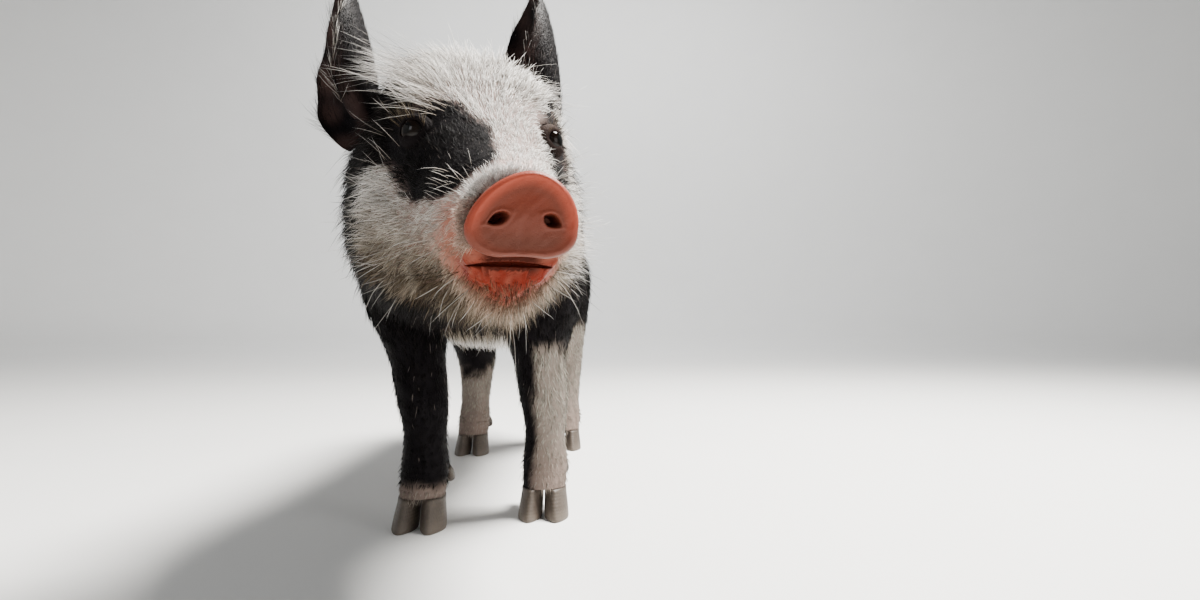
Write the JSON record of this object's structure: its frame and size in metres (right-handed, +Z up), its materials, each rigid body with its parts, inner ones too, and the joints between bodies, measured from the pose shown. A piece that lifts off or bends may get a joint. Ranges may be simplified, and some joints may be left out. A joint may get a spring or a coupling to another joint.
{
  "type": "piglet",
  "caption": "Young pied piglet, life size, standing square with its head turned to its left, for display on a floor.",
  "frame": {"origin": "middle of the box round the whole animal, on the floor under its feet", "axes": "+Z up, +Y from the animal's snout to its tail, +X to the animal's own left; the head is turned 18 degrees towards +X"},
  "size_m": [0.1556, 0.572, 0.2987],
  "materials": {
    "coat_white": "white bristly hair",
    "coat_black": "black bristly hair with a slight sheen",
    "coat_pale": "thin pale hair over pinkish grey skin",
    "snout_skin": "moist bare skin",
    "ear_skin": "thin dark skin",
    "eye": "wet and glossy",
    "claw_horn": "worn horn"
  },
  "bodies": {
    "root": {"head": "coat_white", "neck": "coat_black", "torso": "coat_black", "snout": "snout_skin", "ear_right": "ear_skin", "ear_left": "ear_skin", "eye_right": "eye", "eye_left": "eye", "tail": "coat_white", "leg_front_right": "coat_black", "toe_front_right_inner": "claw_horn", "dewclaw_front_right_inner": "claw_horn", "toe_front_right_outer": "claw_horn", "dewclaw_front_right_outer": "claw_horn", "leg_front_left": "coat_pale", "toe_front_left_inner": "claw_horn", "dewclaw_front_left_inner": "claw_horn", "toe_front_left_outer": "claw_horn", "dewclaw_front_left_outer": "claw_horn", "leg_hind_right": "coat_pale", "toe_hind_right_inner": "claw_horn", "dewclaw_hind_right_inner": "claw_horn", "toe_hind_right_outer": "claw_horn", "dewclaw_hind_right_outer": "claw_horn", "leg_hind_left": "coat_black", "toe_hind_left_inner": "claw_horn", "dewclaw_hind_left_inner": "claw_horn", "toe_hind_left_outer": "claw_horn", "dewclaw_hind_left_outer": "claw_horn"}
  },
  "joints": []
}
